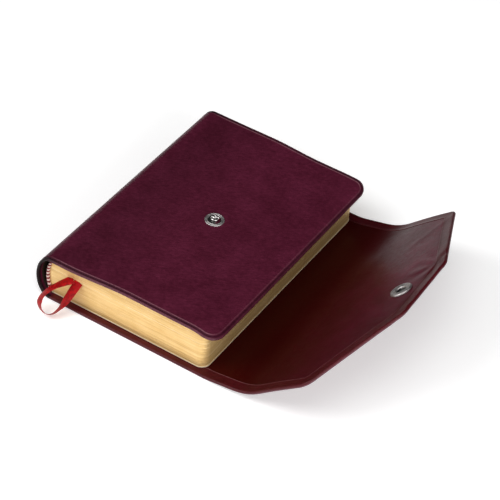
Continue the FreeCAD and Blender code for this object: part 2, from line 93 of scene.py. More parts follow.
SPINE_X = node_box("spine_leather")[0][0]
JOINT_X = node_box("front_cover_leather")[0][0]
FORE_X, HALF_HEIGHT, TOP_Z = node_box("front_cover_leather")[1]
BLOCK_BOTTOM = node_box("back_flyleaf")[0][2]
PAGE_FORE_X, PAGE_HALF, BLOCK_TOP = node_box("front_flyleaf")[1]
FLAP_ROOT = hinge_place("gusset_hinge")
FLAP_FOLD = hinge_place("tongue_hinge")

# ---- small helpers


def smooth(value, low, high):
    """Smoothstep from 0 at low to 1 at high."""
    t = np.clip((value - low) / (high - low), 0, 1)
    return t * t * (3 - 2 * t)


def unit(vectors):
    """Vectors scaled to length 1."""
    return vectors / np.linalg.norm(vectors, axis=-1, keepdims=True)


def bump(value, centre, width):
    """A round bump, 1 high at the centre."""
    return np.exp(-(((value - centre) / width) ** 2))


def noise_field(x, y, z):
    """Smooth noise from -1 to 1 at every point of two arrays."""
    flat = [noise.noise(Vector((a, b, z))) for a, b in zip(np.ravel(x), np.ravel(y))]
    return np.array(flat).reshape(np.shape(x))


def lines(low, high, step, low_edge=(0,), high_edge=(0,)):
    """Grid lines from low to high, with more at distances from each end."""
    start = low + low_edge[-1]
    stop = high - high_edge[-1]
    count = max(2, int(round((stop - start) / step)) + 1)
    head = low + np.array(low_edge[:-1])
    tail = high - np.array(high_edge[:-1][::-1])
    return np.concatenate([head, np.linspace(start, stop, count), tail])


def rounded(plan, ring, corner, along_1, along_2, radius):
    """Plan points with one corner rounded; ring is each point's depth."""
    edge_1, edge_2 = unit(np.array([along_1, along_2]))
    half_turn = math.acos(np.clip(edge_1 @ edge_2, -1, 1)) / 2
    centre = np.array(corner) + unit(edge_1 + edge_2) * radius / math.sin(half_turn)
    offset = plan - centre
    inside = (offset @ edge_1 < 0) & (offset @ edge_2 < 0) & (ring < radius)
    reach = np.linalg.norm(offset, axis=-1)
    scale = np.where(inside, (radius - ring) / np.maximum(reach, 1e-9), 1)
    return centre + offset * scale[..., None]


def make_object(name, points, faces, materials, face_slots=None, sharp=35):
    """A mesh object from points in millimetres, smooth but for its sharp edges."""
    mesh = bpy.data.meshes.new(name)
    mesh.from_pydata((np.asarray(points, float) * MM).tolist(), [], faces)
    for material in materials:
        mesh.materials.append(material)
    if face_slots is not None:
        mesh.polygons.foreach_set("material_index", face_slots)
    mesh.validate()
    mesh.shade_smooth()
    mesh.set_sharp_from_angle(angle=math.radians(sharp))
    return add_object(name, mesh)


def add_object(name, data):
    """A new object that holds a mesh, a camera or a light."""
    thing = bpy.data.objects.new(name, data)
    bpy.context.collection.objects.link(thing)
    return thing


def settle(piece, body, slot, *nodes):
    """Makes a piece ride a body and stand for CAD nodes; the slot is not used."""
    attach(piece, body)
    stand_for(piece, slot, *nodes)


def bend_across(piece, first, second, ends):
    """Bakes a piece's placement into its mesh."""
    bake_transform(piece)


def stand_for(piece, slot, *nodes):
    """Makes a piece stand for CAD nodes, whose meshes it hides; the slot is not used."""
    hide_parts(*nodes)


def grid_faces(rows, columns, start=0, flip=False):
    """The quads of a grid of points."""
    faces = []
    for i in range(rows - 1):
        for j in range(columns - 1):
            a = start + i * columns + j
            quad = (a, a + 1, a + columns + 1, a + columns)
            faces.append(quad[::-1] if flip else quad)
    return faces


def tube_faces(rings, size, start=0):
    """The quads round a tube."""
    faces = []
    for i in range(rings - 1):
        for j in range(size):
            a = start + i * size
            k = (j + 1) % size
            faces.append((a + j, a + k, a + size + k, a + size + j))
    return faces


def tube_ends(rings, size, start=0):
    """The two faces that close a tube."""
    last = start + (rings - 1) * size
    return [tuple(range(start, start + size))[::-1], tuple(range(last, last + size))]


def rim_indices(rows, columns):
    """The outer points of a grid, in order round it."""
    grid = np.arange(rows * columns).reshape(rows, columns)
    return np.concatenate([grid[0], grid[1:, -1], grid[-1, -2::-1], grid[-2:0:-1, 0]]).tolist()


def shell(name, upper, lower, materials, marks=None):
    """A closed sheet between two grids, which share points where they meet at the rim.

    With two materials, the upper side has the second. Marks are named grids of
    numbers for the materials.
    """
    rows, columns = upper.shape[:2]
    count = rows * columns
    points = np.concatenate([upper.reshape(-1, 3), lower.reshape(-1, 3)])
    outer = rim_indices(rows, columns)
    twin = np.arange(2 * count)
    for index in outer:
        if np.linalg.norm(points[index] - points[index + count]) < 1e-4:
            twin[index + count] = index
    faces = grid_faces(rows, columns)
    faces += [tuple(twin[list(f)]) for f in grid_faces(rows, columns, count, True)]
    for a, b in zip(outer, outer[1:] + outer[:1]):
        wall = [b, a, twin[a + count], twin[b + count]]
        if len(set(wall)) > 2:
            faces.append(tuple(dict.fromkeys(wall)))
    used = np.unique(np.concatenate([np.array(f) for f in faces]))
    renumber = np.full(2 * count, -1)
    renumber[used] = np.arange(len(used))
    faces = [tuple(int(renumber[v]) for v in f) for f in faces]
    slots = np.zeros(len(faces), int)
    slots[: (rows - 1) * (columns - 1)] = len(materials) - 1
    thing = make_object(name, points[used], faces, materials, slots)
    for mark, grid in (marks or {}).items():
        values = np.concatenate([grid.ravel(), grid.ravel()])[used]
        attribute = thing.data.attributes.new(mark, "FLOAT", "POINT")
        attribute.data.foreach_set("value", values.astype(np.float32))
    return thing


# ---- materials


def feed(socket, value):
    """Gives a node's input a plain value or an output to follow."""
    if isinstance(value, bpy.types.NodeSocket):
        socket.id_data.links.new(value, socket)
    elif socket.type == "RGBA":
        socket.default_value = (*value, 1)
    else:
        socket.default_value = value


def set_up(node, **values):
    """Gives a node's inputs and properties their values, by name."""
    for name, value in values.items():
        socket = name.replace("_", " ")
        if socket in node.inputs:
            feed(node.inputs[socket], value)
        else:
            setattr(node, name, value)
    return node


class Look:
    """A material with one principled shader."""

    def __init__(self, name, **values):
        self.material = bpy.data.materials.new(name)
        self.material.use_nodes = True
        self.tree = self.material.node_tree
        self.shader = set_up(self.tree.nodes["Principled BSDF"], **values)

    def add(self, kind, **values):
        return set_up(self.tree.nodes.new(kind), **values)

    def place(self, scale=(1, 1, 1), turn=0):
        """Coordinates in millimetres, turned about Z and stretched."""
        place = self.add("ShaderNodeTexCoord").outputs["Object"]
        return self.add(
            "ShaderNodeMapping", vector_type="TEXTURE", Vector=place, Rotation=(0, 0, math.radians(turn)),
            Scale=[MM / s for s in scale]).outputs["Vector"]

    def noise(self, size, scale=(1, 1, 1), detail=2, roughness=0.5, distortion=0, turn=0):
        """Noise whose features are about size millimetres."""
        return self.add(
            "ShaderNodeTexNoise", Vector=self.place(scale, turn), Scale=1 / size,
            Detail=detail, Roughness=roughness, Distortion=distortion).outputs["Fac"]

    def wave(self, scale, repeats, distortion):
        """Soft stripes, with so many repeats in a millimetre."""
        return self.add(
            "ShaderNodeTexWave", Vector=self.place(scale), Scale=repeats,
            Distortion=distortion).outputs["Fac"]

    def cells(self, size):
        """Soft-edged cells about size millimetres across."""
        return self.add(
            "ShaderNodeTexVoronoi", feature="SMOOTH_F1", Vector=self.place(),
            Scale=1 / size).outputs["Distance"]

    def ramp(self, source, *stops):
        """A colour ramp over (place, colour) stops."""
        node = self.add("ShaderNodeValToRGB", Fac=source)
        elements = node.color_ramp.elements
        while len(elements) < len(stops):
            elements.new(0.5)
        for element, (place, colour) in zip(elements, stops):
            element.position = place
            element.color = (*colour, 1)
        return node.outputs["Color"]

    def mix(self, factor, first, second, blend="MIX"):
        """Two colours mixed."""
        node = self.add("ShaderNodeMix", data_type="RGBA", blend_type=blend)
        for index, value in ((0, factor), (6, first), (7, second)):
            feed(node.inputs[index], value)
        return node.outputs[2]

    def spread(self, source, low, high, start=0, end=1):
        """A number moved from the range start..end to low..high."""
        return self.add(
            "ShaderNodeMapRange", Value=source, From_Min=start, From_Max=end,
            To_Min=low, To_Max=high).outputs["Result"]

    def math(self, operation, first, second):
        node = self.add("ShaderNodeMath", operation=operation)
        for index, value in enumerate((first, second)):
            feed(node.inputs[index], value)
        return node.outputs[0]

    def attribute(self, name):
        return self.add("ShaderNodeAttribute", attribute_name=name).outputs["Fac"]

    def finish(self, colour, *reliefs, **values):
        """Joins up the shader: colour, (height, millimetres) bumps and other inputs."""
        set_up(self.shader, Base_Color=colour, **values)
        normal = None
        for height, depth in reliefs:
            node = self.add("ShaderNodeBump", Height=height, Distance=depth * MM)
            if normal is not None:
                set_up(node, Normal=normal)
            normal = node.outputs["Normal"]
        if reliefs:
            set_up(self.shader, Normal=normal)
        return self.material


# Width of the edge that the leather turns in over the flap's lining.
HEM = 6.2
# How far in from an edge the leather's wear, creases, painted highlight lines and painted shade can lie.
RIM_REACH = 8


def edge_ramp(look, place, stops):
    """A grey ramp over (millimetres from the edge, amount) stops."""
    return look.ramp(place, *[(reach / RIM_REACH, (amount,) * 3) for reach, amount in stops])


def leather_look(name, dark, light, worn_and_lit_colour, wear_and_highlight_stops, dye_and_shade_stops, rough, grain, level, painted_shade_colour=None):
    """Grained leather: mottled and finely streaked, rubbed and creased near its edges, with painted
    highlight lines and painted shade along them.

    The wear stops (real rubbing and painted highlight lines) and the dye stops (painted shade) are
    (millimetres from the edge, amount) stops. A painted shade colour, where given, is mixed in by a mark.
    """
    look = Look(name, Specular_IOR_Level=level)
    broad = look.noise(16, detail=3, roughness=0.6)
    mottle = look.noise(2.2, detail=3, roughness=0.65)
    streak = look.noise(0.8, scale=(0.22, 1, 1), detail=3, roughness=0.8, distortion=0.4, turn=28)
    base = look.ramp(broad, (0.32, dark), (0.7, light))
    blotch = look.ramp(mottle, (0.3, (0.84, 0.8, 0.84)), (0.7, (1.16, 1.14, 1.16)))
    toned = look.mix(1, base, blotch, "MULTIPLY")
    flecks = look.ramp(
        streak, (0.3, (0.78, 0.7, 0.74)), (0.52, (1, 1, 1)), (0.75, (1.32, 1.5, 1.42)))
    toned = look.mix(1, toned, flecks, "MULTIPLY")
    # Painted shade: a darker colour mixed in where the mark says the leather lies in shadow.
    if painted_shade_colour is not None:
        toned = look.mix(look.attribute("painted_shade"), toned, painted_shade_colour)
    # Along the edge the dye stops darken the colour as painted shade, and the wear stops lighten it as
    # rubbing and painted highlight lines.
    place = look.spread(look.attribute("rim"), 0, 1, 0, RIM_REACH)
    toned = look.mix(1, toned, edge_ramp(look, place, dye_and_shade_stops), "MULTIPLY")
    wear_and_highlight_mask = edge_ramp(look, place, wear_and_highlight_stops)
    scuff = look.spread(look.noise(0.9, detail=4, roughness=0.7), 0.4, 1, 0.35, 0.6)
    wear_and_highlight_mask = look.math("MULTIPLY", wear_and_highlight_mask, look.attribute("wear_and_highlight"))
    toned = look.mix(look.math("MULTIPLY", wear_and_highlight_mask, scuff), toned, worn_and_lit_colour)
    pebble = look.cells(0.62)
    fine = look.noise(0.22, detail=3, roughness=0.7)
    return look.finish(
        toned, (broad, 0.25), (pebble, grain), (streak, grain), (fine, grain * 0.4),
        Roughness=look.spread(mottle, *rough, 0.25, 0.75))


def gilt_look():
    """Gilt page edges: satin gold with the lines of the leaves showing through."""
    look = Look("gilt_page_edges", Metallic=0.6, Specular_IOR_Level=0.4)
    leaves = look.noise(0.32, scale=(0.012, 0.012, 1), detail=4, roughness=0.75)
    bands = look.noise(2.6, scale=(0.03, 0.03, 1), detail=2)
    smudge = look.noise(9, detail=3)
    gold = look.ramp(
        leaves, (0.25, (0.62, 0.37, 0.12)), (0.5, (0.86, 0.6, 0.27)), (0.8, (0.95, 0.75, 0.42)))
    tone = look.ramp(bands, (0.35, (0.86, 0.82, 0.74)), (0.65, (1, 1, 1)))
    toned = look.mix(1, gold, tone, "MULTIPLY")
    worn_and_lit_colour = look.ramp(smudge, (0.35, (0.93, 0.9, 0.82)), (0.65, (1, 1, 1)))
    return look.finish(
        look.mix(1, toned, worn_and_lit_colour, "MULTIPLY"), (leaves, 0.05), (bands, 0.04),
        Roughness=look.spread(leaves, 0.5, 0.34, 0.2, 0.8))


def paper_look(name, light, dark):
    """Matte paper with faint fibres."""
    look = Look(name, Roughness=0.75, Specular_IOR_Level=0.3)
    fibres = look.noise(0.5, scale=(1, 0.25, 1), detail=4, roughness=0.7)
    cloud = look.noise(7, detail=2)
    toned = look.mix(look.spread(cloud, 0, 1, 0.3, 0.7), dark, light)
    return look.finish(look.mix(look.spread(fibres, 0, 0.25, 0.4, 0.7), toned, dark), (fibres, 0.02))


def metal_look(name, tint, dark, *rough):
    """Polished plated metal with fine wear and dirt."""
    look = Look(name, Metallic=1)
    cloud = look.noise(1.4, detail=4, roughness=0.7)
    scratch = look.noise(0.18, scale=(1, 0.1, 1), detail=3)
    return look.finish(
        look.ramp(cloud, (0.3, dark), (0.62, tint)), (scratch, 0.006),
        Roughness=look.spread(cloud, *rough, 0.3, 0.7))


def thread_look(name, light, dark, sheen, pitch, depth):
    """Woven or spun thread: fine ribs, colour variation and a soft sheen."""
    look = Look(name, Roughness=0.42, Sheen_Weight=sheen, Sheen_Roughness=0.35, Specular_IOR_Level=0.15)
    ribs = look.wave((1, 1, 1), 1 / pitch, 0.6)
    cloud = look.noise(1.6, detail=3)
    toned = look.mix(look.spread(cloud, 0, 1, 0.3, 0.7), dark, light)
    return look.finish(look.mix(look.spread(ribs, 0.25, 0), toned, dark), (ribs, depth))


def fibre_look(name, light, dark, size, depth):
    """Card, kraft paper or plain cloth, which the covers hide."""
    look = Look(name, Roughness=0.85, Specular_IOR_Level=0.25)
    fibres = look.noise(size, scale=(1, 0.4, 1), detail=5, roughness=0.75)
    return look.finish(look.ramp(fibres, (0.3, dark), (0.7, light)), (fibres, depth))


def muslin_look():
    """Open plain weave of pale cotton."""
    look = Look("spine_muslin", Roughness=0.9, Specular_IOR_Level=0.2)
    threads = [look.wave(scale, 1.2, 0.8) for scale in ((1, 0.01, 0.02), (0.02, 1, 0.01))]
    weave = look.math("MULTIPLY", *threads)
    toned = look.ramp(weave, (0.05, (0.35, 0.3, 0.22)), (0.5, (0.74, 0.69, 0.58)))
    return look.finish(toned, (weave, 0.12))


# Wear stops: a rubbed and painted highlight on the rounded rim and a painted highlight line on the
# pressed ridge. Dye stops: painted shade on the edge and in the groove. The last colour is painted shade
# for the spine's ends, beside the spine and at the back joint.
COVER_LEATHER = leather_look(
    "cover_leather", (0.058, 0.0058, 0.0165), (0.082, 0.0098, 0.026), (0.26, 0.115, 0.14),
    wear_and_highlight_stops=((0, 0.4), (0.2, 0.26), (0.6, 0.1), (1, 0), (2.1, 0), (2.45, 0.75), (2.7, 0.7), (3, 0)),
    dye_and_shade_stops=((0, 0.75), (0.9, 0.7), (1.35, 0.4), (1.8, 0.5), (2.3, 1)),
    rough=(0.38, 0.5), grain=0.055, level=0.14, painted_shade_colour=(0.01, 0.0022, 0.0036))
# Wear stops: a rubbed outer edge and a painted highlight line along the hem's lip. Dye stops: the very
# edge and the leather inside the hem line a little darker.
HEM_LEATHER = leather_look(
    "hem_leather", (0.05, 0.0028, 0.0046), (0.07, 0.005, 0.009), (0.3, 0.12, 0.13),
    wear_and_highlight_stops=((0, 0.12), (0.9, 0), (HEM - 0.5, 0), (HEM - 0.3, 0.85), (HEM, 0.7), (HEM + 0.15, 0)),
    dye_and_shade_stops=((0, 0.9), (1, 1), (HEM - 0.5, 0.9)),
    rough=(0.3, 0.4), grain=0.03, level=0.14)
# The lining's last colour is painted shade, mixed in near the root where the book's shadow falls.
LINING_LEATHER = leather_look(
    "lining_leather", (0.058, 0.004, 0.01), (0.096, 0.0085, 0.022), (0.13, 0.045, 0.055),
    wear_and_highlight_stops=((0, 0), (1, 0)),
    dye_and_shade_stops=((0, 1), (1, 1)),
    rough=(0.3, 0.42), grain=0.02, level=0.1, painted_shade_colour=(0.032, 0.0007, 0.0006))
GILT = gilt_look()
LEAF_PAPER = paper_look("leaf_paper", (0.82, 0.78, 0.68), (0.79, 0.745, 0.635))
ENDPAPER = paper_look("endpaper", (0.66, 0.54, 0.37), (0.61, 0.49, 0.32))
NICKEL = metal_look("snap_nickel", (0.62, 0.6, 0.58), (0.4, 0.38, 0.37), 0.16, 0.26)
DULL_NICKEL = metal_look("dull_nickel", (0.6, 0.57, 0.56), (0.34, 0.32, 0.31), 0.4, 0.54)
# Near-black steel: painted shade in the stud's groove, the socket's well and on the wires in its bore.
PAINTED_SHADE_STEEL = metal_look("spring_steel", (0.12, 0.12, 0.115), (0.05, 0.05, 0.048), 0.3, 0.5)
SATIN = thread_look("ribbon_satin", (0.46, 0.0015, 0.004), (0.17, 0.001, 0.002), 0, 0.9, 0.02)
CREAM_SILK = thread_look("band_silk_cream", (0.8, 0.66, 0.6), (0.6, 0.42, 0.38), 0.3, 0.5, 0.01)
RED_SILK = thread_look("band_silk_red", (0.22, 0.012, 0.014), (0.12, 0.006, 0.008), 0.3, 0.5, 0.01)
LINEN = thread_look("sewing_thread", (0.72, 0.66, 0.54), (0.5, 0.43, 0.32), 0.1, 0.4, 0.02)
BOARD = fibre_look("board_card", (0.42, 0.35, 0.27), (0.24, 0.19, 0.14), 0.8, 0.05)
# Near black: painted shade in the spine's hollow and on the spine card.
PAINTED_SHADE_KRAFT = fibre_look("hollow_paper", (0.055, 0.034, 0.022), (0.03, 0.018, 0.012), 0.6, 0.03)
MUSLIN = muslin_look()

# ---- camera

CAMERA_AZIMUTH = math.radians(28.09)
CAMERA_ELEVATION = math.radians(41.6)
CAMERA_ROLL = math.radians(6.49)
CAMERA_DISTANCE = 1099.47
CAMERA_TARGET = (17.76, 18.09, 0)
CAMERA_LENS = 153.04
CAMERA_SENSOR = 36


def make_camera():
    level = math.cos(CAMERA_ELEVATION)
    sine, cosine = math.sin(CAMERA_AZIMUTH), math.cos(CAMERA_AZIMUTH)
    back = Vector((sine * level, -cosine * level, math.sin(CAMERA_ELEVATION)))
    right = Vector((cosine, sine, 0))
    up = back.cross(right)
    sine, cosine = math.sin(CAMERA_ROLL), math.cos(CAMERA_ROLL)
    turned_right = right * cosine + up * sine
    turned_up = up * cosine - right * sine
    place = Matrix((turned_right, turned_up, back)).transposed().to_4x4()
    place.translation = (Vector(CAMERA_TARGET) + back * CAMERA_DISTANCE) * MM
    data = bpy.data.cameras.new("camera")
    data.lens = CAMERA_LENS
    data.sensor_width = CAMERA_SENSOR
    data.clip_end = 20
    camera = add_object("camera", data)
    camera.matrix_world = place
    bpy.context.scene.camera = camera


make_camera()

# ---- ribbon

# Points of the ribbon's route, and the direction across it there as it twists.
RIBBON_ROUTE, RIBBON_ACROSS = zip(
    ((-30.6, -71.2, 17.3), (1, 0, 0)),
    ((-34.5, -75.3, 15.8), (0.65, -0.75, 0.15)),
    ((-39.6, -79.8, 11.8), (0.64, -0.74, 0.2)),
    ((-42.1, -84.3, 6.6), (0.85, -0.31, 0.42)),
    ((-37.9, -87.1, 3), (0.45, -0.5, 0.75)),
    ((-33, -85.4, 2.2), (0.45, -0.64, 0.62)),
    ((-30.9, -80.1, 5.2), (0.64, -0.63, 0.45)),
    ((-29.3, -75.5, 10.8), (0.92, -0.38, 0)),
    ((-27.4, -71.2, 17.3), (1, 0, 0)),
)
RIBBON_WIDTH = 5
RIBBON_THICKNESS = 0.28


def route_line(route):
    """Points along a route's smooth spline."""
    data = bpy.data.curves.new("route", "CURVE")
    data.dimensions = "3D"
    data.resolution_u = 16
    spline = data.splines.new("NURBS")
    spline.points.add(len(route) - 1)
    for point, place in zip(spline.points, route):
        point.co = (*[c * MM for c in place], 1)
    spline.order_u = 3
    spline.use_endpoint_u = True
    holder = bpy.data.objects.new("route", data)
    mesh = bpy.data.meshes.new_from_object(holder)
    points = np.array([v.co[:] for v in mesh.vertices])
    bpy.data.batch_remove([holder, data, mesh])
    return points / MM


def make_ribbon():
    line = route_line(RIBBON_ROUTE)
    tangent = unit(np.gradient(line, axis=0))
    along = np.linspace(0, 1, len(line))
    steps = np.linspace(0, 1, len(RIBBON_ROUTE))
    across = np.stack([np.interp(along, steps, part) for part in zip(*RIBBON_ACROSS)], axis=1)
    across = unit(across - tangent * np.sum(across * tangent, axis=1)[:, None])
    face = np.cross(tangent, across)
    places = np.array([-1, -0.97, -0.9, -0.8, -0.4, 0, 0.4, 0.8, 0.9, 0.97, 1])
    half = RIBBON_THICKNESS / 2 * np.sqrt(np.clip(1 - places**6, 0, 1))
    cup = 0.22 * (1 - places**2)
    spread = line[:, None] + across[:, None] * (places * RIBBON_WIDTH / 2)[:, None]
    upper, lower = (spread + face[:, None] * (cup + side * half)[:, None] for side in (1, -1))
    ribbon = shell("ribbon_loop_satin", upper, lower, [SATIN])
    settle(ribbon, "back_cover", "ribbon_satin", "ribbon_loop")


make_ribbon()

# ---- the case: spine and front cover

# Thickness of the case's edge, where the leather is turned in, and of the leather alone.
CASE_THICKNESS = 1.7
LEATHER = 0.8
TURN_IN = 3.2
# Radii of the cover's corners at the tail and at the head.
COVER_CORNERS = ((-1, 9), (1, 8))
# How much smaller those of the layers inside it are.
LAYER_CORNER = 3
# The leather's end under the back cover, and how much thinner it is there.
JOINT_TUCK = 2.4
TUCK_THINNED = 0.5
COVER_EDGE = (0, 0.06, 0.25, 0.55, 0.85, 1.1, 1.3, 1.5, 1.7, 1.9, 2.2, 2.45, 2.7, 3.1, 3.3, 3.8, 5)
FORE_REACH = 3.9
# Where the cover starts to curl over the fore edge, and its angle at the tail and head.
CURL_START = PAGE_FORE_X - 0.8
CURL_NEAR = 12
CURL_FAR = 38
# The limp rim past this line is a piece of its own, which rides the front cover.
RIM_X = PAGE_FORE_X - 1.4
# How much painted shade darkens the cover beside the spine.
SPINE_PAINTED_SHADE = 0.24
# How far the soft cover bows up and in at its tail and its head, and ripples.
BOW_UP = 1.4
HEAD_UP = 0.4
BOW_IN = 1
HEAD_IN = 1.5
COVER_RIPPLE = 0.16
# Depth, distance in and width of the groove and the ridge pressed along the rim.
RIM_CREASES = ((0.26, 1.55, 0.35), (-0.07, 2.6, 0.3))
# How much creased and worn the cover is at its tail and head, and how strong its painted highlight lines
# are there.
SIDE_WEAR_AND_HIGHLIGHT = 0.22
# Two points in X and Z about the front joint, given to bend_across.
CASE_BEND = np.array([(-47.5, 0, 23.5), (-40.5, 0, 27.5)])
# Keeps the worn edge, with its painted highlight lines and painted shade, off a layer whose own edge is
# hidden.
INNER_RIM = 4


def case_outline():
    """The case's outline across the spine, from the back joint to the fore edge."""
    depth = JOINT_X - SPINE_X
    middle = TOP_Z / 2
    turn = np.radians(np.linspace(-90, 90, 121))
    start = np.array([[JOINT_X + JOINT_TUCK, 0.5], [JOINT_X + 1.2, 0.2]])
    spine = np.stack([JOINT_X - depth * np.cos(turn), middle * (1 + np.sin(turn))], axis=1)
    front = np.stack([np.linspace(JOINT_X + 1, FORE_X + FORE_REACH, 60), np.full(60, TOP_Z)], axis=1)
    outline = np.concatenate([start, spine, front])
    length = np.concatenate([[0], np.cumsum(np.linalg.norm(np.diff(outline, axis=0), axis=1))])
    tangent = unit(np.gradient(outline, length, axis=0))
    return length, outline, np.stack([-tangent[:, 1], tangent[:, 0]], axis=1)


CASE_LENGTH, CASE_OUTLINE, CASE_NORMAL = case_outline()
CASE_END = CASE_LENGTH[-1]
# Distance along the outline of the front joint, where the flat cover begins.
FRONT_START = CASE_END - (FORE_X + FORE_REACH - JOINT_X)
RIM_START = CASE_END - (FORE_X + FORE_REACH - RIM_X)


def cover_bow(x, y):
    """How far the soft front cover bows up, and how far in."""
    fore = FORE_X + FORE_REACH
    near = smooth(-y, 30, HALF_HEIGHT)
    far = smooth(y, 45, HALF_HEIGHT)
    swell = smooth(x, -34, 4) * (1 - smooth(x, 40, fore))
    rise = (BOW_UP * near + HEAD_UP * far) * swell
    ripple = COVER_RIPPLE * noise_field(x / 26, y / 26, 3) * smooth(x, JOINT_X, JOINT_X + 12)
    inward = BOW_IN * near * swell - HEAD_IN * far * smooth(x, -8, 26)
    return rise + ripple, inward


def fore_curl(x, y):
    """The cover's place, drop and slope where it curls over the fore edge."""
    length = FORE_X + FORE_REACH - CURL_START
    most = np.radians(CURL_NEAR + (CURL_FAR - CURL_NEAR) * smooth(y, -HALF_HEIGHT, 45))
    angle = most * np.clip((x - CURL_START) / length, 0, 1)
    radius = length / most
    bent = np.where(x > CURL_START, CURL_START + radius * np.sin(angle), x)
    return bent, radius * (1 - np.cos(angle)), angle


def case_surface(plan, depth):
    """Points at a depth under the case's outer face."""
    u, y = plan[..., 0], plan[..., 1]
    x, z, normal_x, normal_z = (
        np.interp(u, CASE_LENGTH, values) for values in (*CASE_OUTLINE.T, *CASE_NORMAL.T))
    rise, inward = cover_bow(np.where(u > FRONT_START, x, JOINT_X), y)
    bent, drop, angle = fore_curl(x, y)
    lean_x = normal_x + np.sin(angle)
    lean_z = normal_z * np.cos(angle)
    return np.stack([bent - lean_x * depth, y + inward, z - lean_z * depth + rise - drop], axis=-1)


def edge_round(distance, thickness):
    """How far a rounded edge falls away at a distance from the rim."""
    half = thickness / 2
    inner = np.clip(1 - distance / half, 0, 1)
    return half * (1 - np.sqrt(1 - inner**2))


def round_cover(plan, rim, end, half, less=0):
    """The cover's plan with its two fore corners rounded."""
    for sign, radius in COVER_CORNERS:
        plan = rounded(plan, rim, (end, sign * half), (-1, 0), (0, -sign), radius - less)
    return plan


def case_skin(name, u_lines):
    """Part of the skin of leather round the spine and over the front cover."""
    y_lines = lines(-HALF_HEIGHT, HALF_HEIGHT, 2.6, COVER_EDGE, COVER_EDGE)
    u, y = np.meshgrid(u_lines, y_lines, indexing="ij")
    side = HALF_HEIGHT - np.abs(y)
    rim = np.minimum(side, CASE_END - u)
    plan = round_cover(np.stack([u, y], axis=-1), rim, CASE_END, HALF_HEIGHT)
    tuck = TUCK_THINNED * (1 - smooth(u, 0, JOINT_TUCK))
    turned = np.minimum(side, CASE_END - u - FORE_REACH)
    turned = 1 - smooth(turned, TURN_IN - 0.1, TURN_IN + 0.1)
    thickness = LEATHER + (CASE_THICKNESS - LEATHER) * turned - tuck
    edge = edge_round(rim, CASE_THICKNESS)
    at_side = SIDE_WEAR_AND_HIGHLIGHT + (1 - SIDE_WEAR_AND_HIGHLIGHT) * smooth(CASE_END - u - side, -4, 4)
    pressed = sum(depth * bump(rim, *place) for depth, *place in RIM_CREASES)
    pressed = pressed * smooth(u, FRONT_START - 14, FRONT_START - 4) * at_side
    outer = case_surface(plan, edge + pressed)
    inner = case_surface(plan, np.maximum(thickness - edge, edge))
    on_cover = smooth(u, FRONT_START - 4, FRONT_START + 8)
    # Painted shade: the cover darker beside the spine, fading toward the fore edge.
    painted_spine_shade = SPINE_PAINTED_SHADE * on_cover * (1 - smooth(u, FRONT_START, FRONT_START + 50))
    marks = {
        "rim": rim,
        # How strong the rubbing and painted highlight lines are: on the cover, weaker at the tail and
        # head.
        "wear_and_highlight": on_cover * at_side,
        # Painted shade on the spine's leather near its ends, where the hollow lies in shadow, plus the
        # painted shade beside the spine.
        "painted_shade": (1 - on_cover) * (1 - smooth(side, 0.9, 2.2)) + painted_spine_shade,
    }
    return shell(name, outer, inner, [COVER_LEATHER], marks)


def make_case():
    """The skin as far as the fore edge, and the limp rim past it."""
    case = case_skin("case_leather", np.concatenate([
        lines(0, FRONT_START, 1.1)[:-1],
        lines(FRONT_START, RIM_START, 2.6)]))
    bend_across(case, "back_cover", "front_cover", CASE_BEND)
    stand_for(case, "cover_leather", "spine_leather", "front_cover_leather")
    rim = case_skin("fore_rim_leather", lines(RIM_START, CASE_END, 1, high_edge=COVER_EDGE))
    settle(rim, "front_cover", "cover_leather", "front_cover_leather")
    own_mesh(rim)


def make_cover_layer(name, node, slot, inset, depths, material):
    """A layer inside the front cover, between two depths."""
    low = FRONT_START + inset
    high = CASE_END - FORE_REACH - inset
    half = HALF_HEIGHT - inset
    edge_lines = (0, 0.05, 0.12, 0.2, 0.5, 1.2, 2.5)
    u, y = np.meshgrid(
        lines(low, high, 2.6, edge_lines, edge_lines),
        lines(-half, half, 2.6, edge_lines, edge_lines), indexing="ij")
    rim = np.minimum(half - np.abs(y), np.minimum(high - u, u - low))
    plan = round_cover(np.stack([u, y], axis=-1), rim, high, half, LAYER_CORNER)
    top, bottom = depths
    edge = edge_round(rim, bottom - top)
    upper = case_surface(plan, top + edge)
    lower = case_surface(plan, bottom - edge)
    layer = shell(name, upper, lower, [material], {"rim": rim + INNER_RIM})
    settle(layer, "front_cover", slot, node)


make_case()
make_cover_layer("front_board", "front_cover_board", "board_card", 3.6, (0.8, 1.4), BOARD)
make_cover_layer(
    "front_pastedown", "front_cover_lining", "lining_leather", 3, (1.42, 1.85), LINING_LEATHER)

# ---- back cover, and the flap

FLAP_THICKNESS = 1.8
HEM_EDGE = (
    0, 0.06, 0.25, 0.55, 0.9, 1.5, 2.6, 3.9,
    *(HEM + step for step in (-1.2, -0.7, -0.35, -0.15, 0, 0.15, 0.4, 1.2, 2.6)))
ROOT_X = 51.8
SIDE_REACH = 62.18
FLAP_REACH = 88.43
END_HALF = 21.72
SEAM_REACH = 14.2
SOCKET_REACH = 73.2
# Points about the hinges of the flap's root and its fold, given to bend_across.
ROOT_BEND = np.array([(-3, 0, 0), (3.5, 0, 0.7)])
FOLD_LEAN = math.radians(28)
FOLD_BEND = np.outer((-6.5, 6.5), (math.cos(FOLD_LEAN), 0, math.sin(FOLD_LEAN)))
# The lining starts this far in from the edge, just under the hem.
LINING_INSET = HEM - 0.1
# How much of a round its upper edge has.
LINING_EASE = 0.4
# How far the lining lies below the hem, and how much less at the head.
LINING_STEP = 0.5
HEAD_LOSS = 0.7
# The lining's underside on the back cover, and how much lower on the flap.
LINING_BED = 1.4
BED_DROP = 0.6
# Where the lining's painted shade, deepest by the root in the book's shadow, fades along the flap, and
# how much at the tail and the head.
FADE_REACH = (6, 72)
TAIL_FADE = 0.45
HEAD_FADE = 0.55
